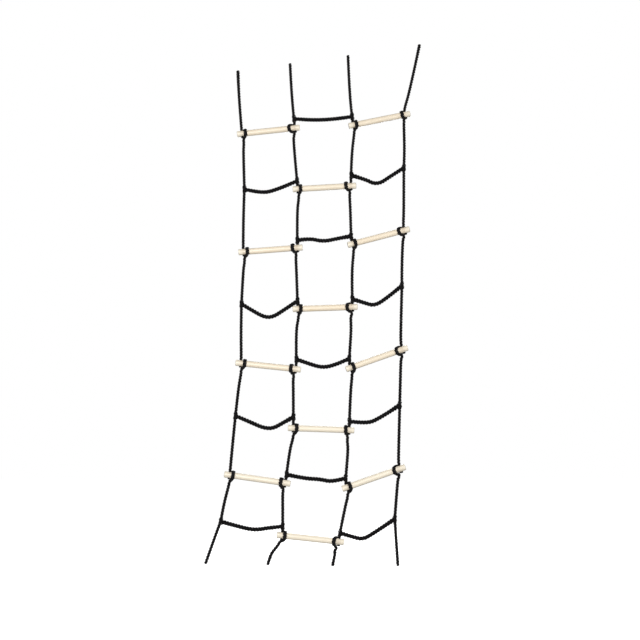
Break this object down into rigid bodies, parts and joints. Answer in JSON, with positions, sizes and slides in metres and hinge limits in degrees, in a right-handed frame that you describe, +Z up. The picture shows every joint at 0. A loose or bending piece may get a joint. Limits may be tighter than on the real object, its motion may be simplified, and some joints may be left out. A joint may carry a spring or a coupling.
{
  "type": "rope ladder",
  "caption": "Wide hanging rope ladder: side ropes carry round wooden rungs and slack cross ropes by turns, in staggered columns, for climbing down a wall.",
  "frame": {"origin": "on the hang line, midway between the two inner side ropes, where the ladder is held", "axes": "+Z up along the ladder, +X across it to the right as seen from the front, +Y to its back"},
  "size_m": [1.0665, 0.0574, 2.6182],
  "materials": {
    "side_rope": "black three-strand twisted polypropylene rope, 12 mm, slight sheen on the filaments",
    "cross_rope": "black three-strand twisted polypropylene rope, 16 mm, slack between two rope seizings",
    "rung_wood": "pale sanded beech dowel with a thin clear satin coat, rounded ends"
  },
  "bodies": {
    "top_ropes": {"rope_1_top": "side_rope", "rope_2_top": "side_rope", "rope_3_top": "side_rope", "rope_4_top": "side_rope"},
    "row_1": {"rung_row_1_left": "rung_wood", "rung_row_1_right": "rung_wood", "rope_1_row_1": "side_rope", "rope_2_row_1": "side_rope", "rope_3_row_1": "side_rope", "rope_4_row_1": "side_rope"},
    "cross_row_1_middle": {"cross_rope_row_1_middle": "cross_rope"},
    "row_2": {"rung_row_2_middle": "rung_wood", "rope_1_row_2": "side_rope", "rope_2_row_2": "side_rope", "rope_3_row_2": "side_rope", "rope_4_row_2": "side_rope"},
    "cross_row_2_left": {"cross_rope_row_2_left": "cross_rope"},
    "cross_row_2_right": {"cross_rope_row_2_right": "cross_rope"},
    "row_3": {"rung_row_3_left": "rung_wood", "rung_row_3_right": "rung_wood", "rope_1_row_3": "side_rope", "rope_2_row_3": "side_rope", "rope_3_row_3": "side_rope", "rope_4_row_3": "side_rope"},
    "cross_row_3_middle": {"cross_rope_row_3_middle": "cross_rope"},
    "row_4": {"rung_row_4_middle": "rung_wood", "rope_1_row_4": "side_rope", "rope_2_row_4": "side_rope", "rope_3_row_4": "side_rope", "rope_4_row_4": "side_rope"},
    "cross_row_4_left": {"cross_rope_row_4_left": "cross_rope"},
    "cross_row_4_right": {"cross_rope_row_4_right": "cross_rope"},
    "row_5": {"rung_row_5_left": "rung_wood", "rung_row_5_right": "rung_wood", "rope_1_row_5": "side_rope", "rope_2_row_5": "side_rope", "rope_3_row_5": "side_rope", "rope_4_row_5": "side_rope"},
    "cross_row_5_middle": {"cross_rope_row_5_middle": "cross_rope"},
    "row_6": {"rung_row_6_middle": "rung_wood", "rope_1_row_6": "side_rope", "rope_2_row_6": "side_rope", "rope_3_row_6": "side_rope", "rope_4_row_6": "side_rope"},
    "cross_row_6_left": {"cross_rope_row_6_left": "cross_rope"},
    "cross_row_6_right": {"cross_rope_row_6_right": "cross_rope"},
    "row_7": {"rung_row_7_left": "rung_wood", "rung_row_7_right": "rung_wood", "rope_1_row_7": "side_rope", "rope_2_row_7": "side_rope", "rope_3_row_7": "side_rope", "rope_4_row_7": "side_rope"},
    "cross_row_7_middle": {"cross_rope_row_7_middle": "cross_rope"},
    "row_8": {"rung_row_8_middle": "rung_wood", "rope_1_row_8": "side_rope", "rope_2_row_8": "side_rope", "rope_3_row_8": "side_rope", "rope_4_row_8": "side_rope"},
    "cross_row_8_left": {"cross_rope_row_8_left": "cross_rope"},
    "cross_row_8_right": {"cross_rope_row_8_right": "cross_rope"}
  },
  "joints": [
    {"name": "row_1_fold", "type": "hinge", "parent": "top_ropes", "child": "row_1", "pos_m": [0, 0, -0.225], "axis": [1, 0, 0], "range_deg": [-120, 120]},
    {"name": "cross_row_1_middle_swing", "type": "hinge", "parent": "row_1", "child": "cross_row_1_middle", "pos_m": [-0.12654, 0, -0.37795], "axis": [0.9991, 0, 0.0415], "range_deg": [-80, 80]},
    {"name": "row_2_fold", "type": "hinge", "parent": "row_1", "child": "row_2", "pos_m": [0, 0, -0.56], "axis": [-1, 0, 0], "range_deg": [-120, 120]},
    {"name": "cross_row_2_left_swing", "type": "hinge", "parent": "row_2", "child": "cross_row_2_left", "pos_m": [-0.374, 0, -0.75], "axis": [0.9867, 0, 0.1627], "range_deg": [-80, 80]},
    {"name": "cross_row_2_right_swing", "type": "hinge", "parent": "row_2", "child": "cross_row_2_right", "pos_m": [0.1634, 0, -0.67589], "axis": [0.9894, 0, 0.1449], "range_deg": [-80, 80]},
    {"name": "row_3_fold", "type": "hinge", "parent": "row_2", "child": "row_3", "pos_m": [0, 0, -0.86], "axis": [1, 0, 0], "range_deg": [-120, 120]},
    {"name": "cross_row_3_middle_swing", "type": "hinge", "parent": "row_3", "child": "cross_row_3_middle", "pos_m": [-0.10735, 0, -1.01349], "axis": [0.9968, 0, 0.0804], "range_deg": [-80, 80]},
    {"name": "row_4_fold", "type": "hinge", "parent": "row_3", "child": "row_4", "pos_m": [0, 0, -1.17], "axis": [-1, 0, 0], "range_deg": [-120, 120]},
    {"name": "cross_row_4_left_swing", "type": "hinge", "parent": "row_4", "child": "cross_row_4_left", "pos_m": [-0.381, 0, -1.335], "axis": [0.9985, 0, 0.0552], "range_deg": [-80, 80]},
    {"name": "cross_row_4_right_swing", "type": "hinge", "parent": "row_4", "child": "cross_row_4_right", "pos_m": [0.1655, 0, -1.31031], "axis": [0.9644, 0, 0.2644], "range_deg": [-80, 80]},
    {"name": "row_5_fold", "type": "hinge", "parent": "row_4", "child": "row_5", "pos_m": [0, 0, -1.465], "axis": [1, 0, 0], "range_deg": [-120, 120]},
    {"name": "cross_row_5_middle_swing", "type": "hinge", "parent": "row_5", "child": "cross_row_5_middle", "pos_m": [-0.10939, 0, -1.60926], "axis": [0.9999, 0, 0.0141], "range_deg": [-80, 80]},
    {"name": "row_6_fold", "type": "hinge", "parent": "row_5", "child": "row_6", "pos_m": [0, 0, -1.755], "axis": [-1, 0, 0], "range_deg": [-120, 120]},
    {"name": "cross_row_6_left_swing", "type": "hinge", "parent": "row_6", "child": "cross_row_6_left", "pos_m": [-0.403, 0, -1.884], "axis": [0.9998, 0, -0.0189], "range_deg": [-80, 80]},
    {"name": "cross_row_6_right_swing", "type": "hinge", "parent": "row_6", "child": "cross_row_6_right", "pos_m": [0.14794, 0, -1.91077], "axis": [0.9517, 0, 0.3071], "range_deg": [-80, 80]},
    {"name": "row_7_fold", "type": "hinge", "parent": "row_6", "child": "row_7", "pos_m": [0, 0, -2.045], "axis": [1, 0, 0], "range_deg": [-120, 120]},
    {"name": "cross_row_7_middle_swing", "type": "hinge", "parent": "row_7", "child": "cross_row_7_middle", "pos_m": [-0.15458, 0, -2.1642], "axis": [0.9982, 0, -0.0608], "range_deg": [-80, 80]},
    {"name": "row_8_fold", "type": "hinge", "parent": "row_7", "child": "row_8", "pos_m": [0, 0, -2.305], "axis": [-1, 0, 0], "range_deg": [-120, 120]},
    {"name": "cross_row_8_left_swing", "type": "hinge", "parent": "row_8", "child": "cross_row_8_left", "pos_m": [-0.466, 0, -2.384], "axis": [0.997, 0, -0.0779], "range_deg": [-80, 80]},
    {"name": "cross_row_8_right_swing", "type": "hinge", "parent": "row_8", "child": "cross_row_8_right", "pos_m": [0.10013, 0, -2.43761], "axis": [0.9707, 0, 0.2404], "range_deg": [-80, 80]}
  ]
}
